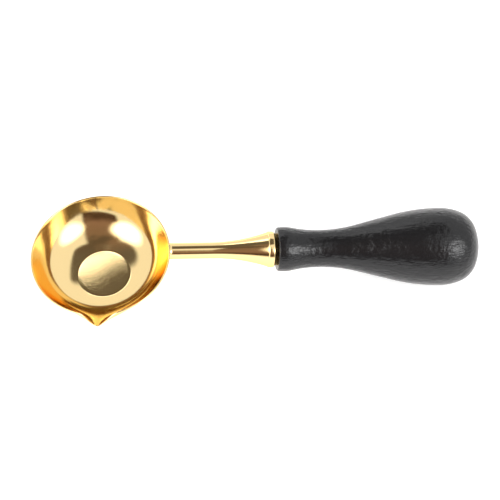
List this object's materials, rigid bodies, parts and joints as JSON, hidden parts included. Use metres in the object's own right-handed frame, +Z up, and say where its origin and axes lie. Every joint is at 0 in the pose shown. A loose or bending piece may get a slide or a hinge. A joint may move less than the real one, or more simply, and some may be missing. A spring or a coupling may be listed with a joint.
{
  "type": "sealing wax melting spoon",
  "caption": "Small brass melting spoon with a flat-footed round bowl, a pouring lip, a trumpet-shaped stem and a turned black wooden handle.",
  "frame": {"origin": "middle of the spoon's length and width, on the surface it lies on", "axes": "+X from the bowl to the handle, +Z up, the pouring lip towards -Y; the spoon lies on its foot's far edge and on the handle's bulb"},
  "size_m": [0.1278, 0.0436, 0.0221],
  "materials": {
    "bowl_brass": "gold plated and polished",
    "braze": "plated over",
    "stem_brass": "gold plated and polished",
    "bolt_steel": "zinc plated",
    "lacquered_wood": "black satin lacquer"
  },
  "bodies": {
    "root": {"bowl": "bowl_brass", "braze_ring": "braze", "stem": "stem_brass", "hanger_bolt": "bolt_steel", "handle": "lacquered_wood"}
  },
  "joints": []
}
